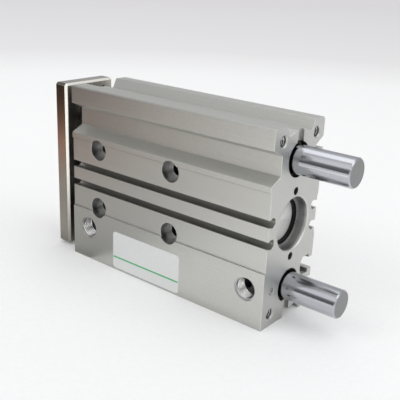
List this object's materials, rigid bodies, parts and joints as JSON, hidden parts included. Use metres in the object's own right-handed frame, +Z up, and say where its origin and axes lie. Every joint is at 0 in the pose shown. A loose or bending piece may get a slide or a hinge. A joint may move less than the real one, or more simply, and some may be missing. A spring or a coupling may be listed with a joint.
{
  "type": "guided pneumatic cylinder",
  "caption": "Compact pneumatic cylinder: an extruded aluminium body with a piston and two guide rods that carry a tooling plate in and out.",
  "frame": {"origin": "under the middle of the whole length, mid-depth, at the lower narrow face that the body stands on", "axes": "+X from the tooling plate to the free ends of the guide rods, -Y out of the port face, +Z up along the body's height"},
  "size_m": [0.1526, 0.036, 0.083],
  "materials": {
    "anodised_aluminium": "satin anodised extrusion with fine lengthwise grain",
    "turned_aluminium": "turned, bright",
    "seal_rubber": "black, smooth",
    "bush_bronze": "sintered, oily",
    "black_spring_steel": "black phosphated",
    "plated_steel": "zinc plated",
    "plate_steel": "nickel plated, ground",
    "black_screw_steel": "black oxide",
    "hard_chrome": "hard chrome, ground and polished; flat ground ends",
    "magnet": "bonded ferrite",
    "bumper_urethane": "urethane, matt"
  },
  "bodies": {
    "housing": {"body": "anodised_aluminium", "rod_cover": "turned_aluminium", "head_cover": "turned_aluminium", "rod_cover_gasket": "seal_rubber", "head_cover_gasket": "seal_rubber", "rod_seal": "seal_rubber", "rod_bushing": "bush_bronze", "rod_cover_ring": "black_spring_steel", "head_cover_ring": "black_spring_steel", "guide_bush_front_upper": "bush_bronze", "guide_bush_front_lower": "bush_bronze", "guide_bush_rear_upper": "bush_bronze", "guide_bush_rear_lower": "bush_bronze", "side_port_plugs": "plated_steel", "passage_plugs": "plated_steel"},
    "carriage": {"tooling_plate": "plate_steel", "guide_rod_bolts": "black_screw_steel", "piston_rod_bolt": "black_screw_steel", "guide_rod_upper": "hard_chrome", "guide_rod_lower": "hard_chrome", "piston_rod": "hard_chrome", "piston": "turned_aluminium", "piston_seal": "seal_rubber", "piston_magnet": "magnet", "bumper_front": "bumper_urethane", "bumper_rear": "bumper_urethane"}
  },
  "joints": [
    {"name": "plate_slide", "type": "slide", "parent": "housing", "child": "carriage", "axis": [-1, 0, 0], "range_m": [0, 0.075]}
  ]
}
